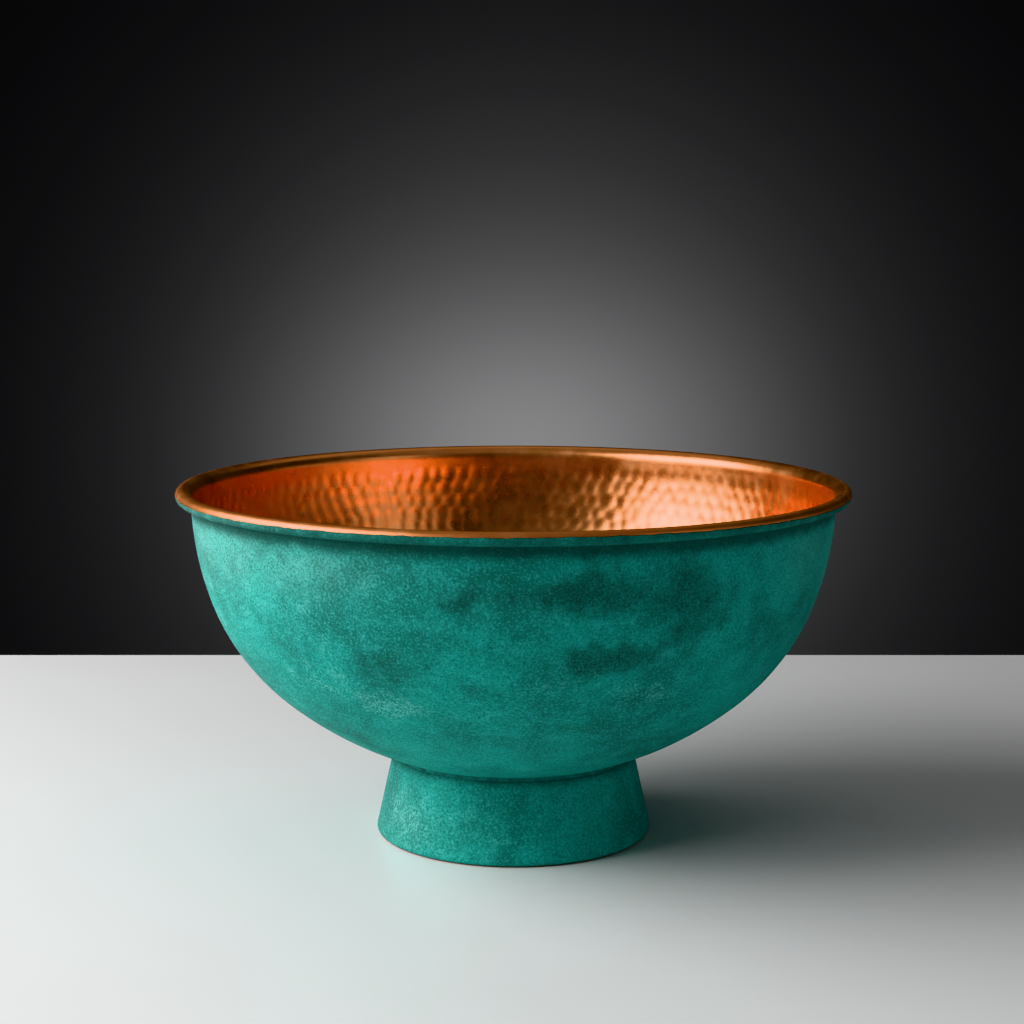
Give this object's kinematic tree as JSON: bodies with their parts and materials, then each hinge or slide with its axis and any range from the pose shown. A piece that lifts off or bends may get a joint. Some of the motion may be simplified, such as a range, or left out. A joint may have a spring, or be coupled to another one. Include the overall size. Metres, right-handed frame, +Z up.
{
  "type": "footed bowl",
  "caption": "Round footed bowl of hammered copper, deep and open, with a wired rolled rim and a hollow flared foot, verdigris outside.",
  "frame": {"origin": "on the bowl's axis, in the plane that the foot stands on", "axes": "+Z up, along the axis of revolution; X and Y are level and alike"},
  "size_m": [0.4, 0.4, 0.2125],
  "materials": {
    "hammered_copper": "satin",
    "copper_wire": "satin",
    "verdigris_copper": "matte",
    "verdigris_braze": "matte",
    "bare_braze": "satin"
  },
  "bodies": {
    "root": {"bowl_shell": "hammered_copper", "rim_wire": "copper_wire", "pedestal_foot": "verdigris_copper", "outer_braze_ring": "verdigris_braze", "inner_braze_ring": "bare_braze"}
  },
  "joints": []
}
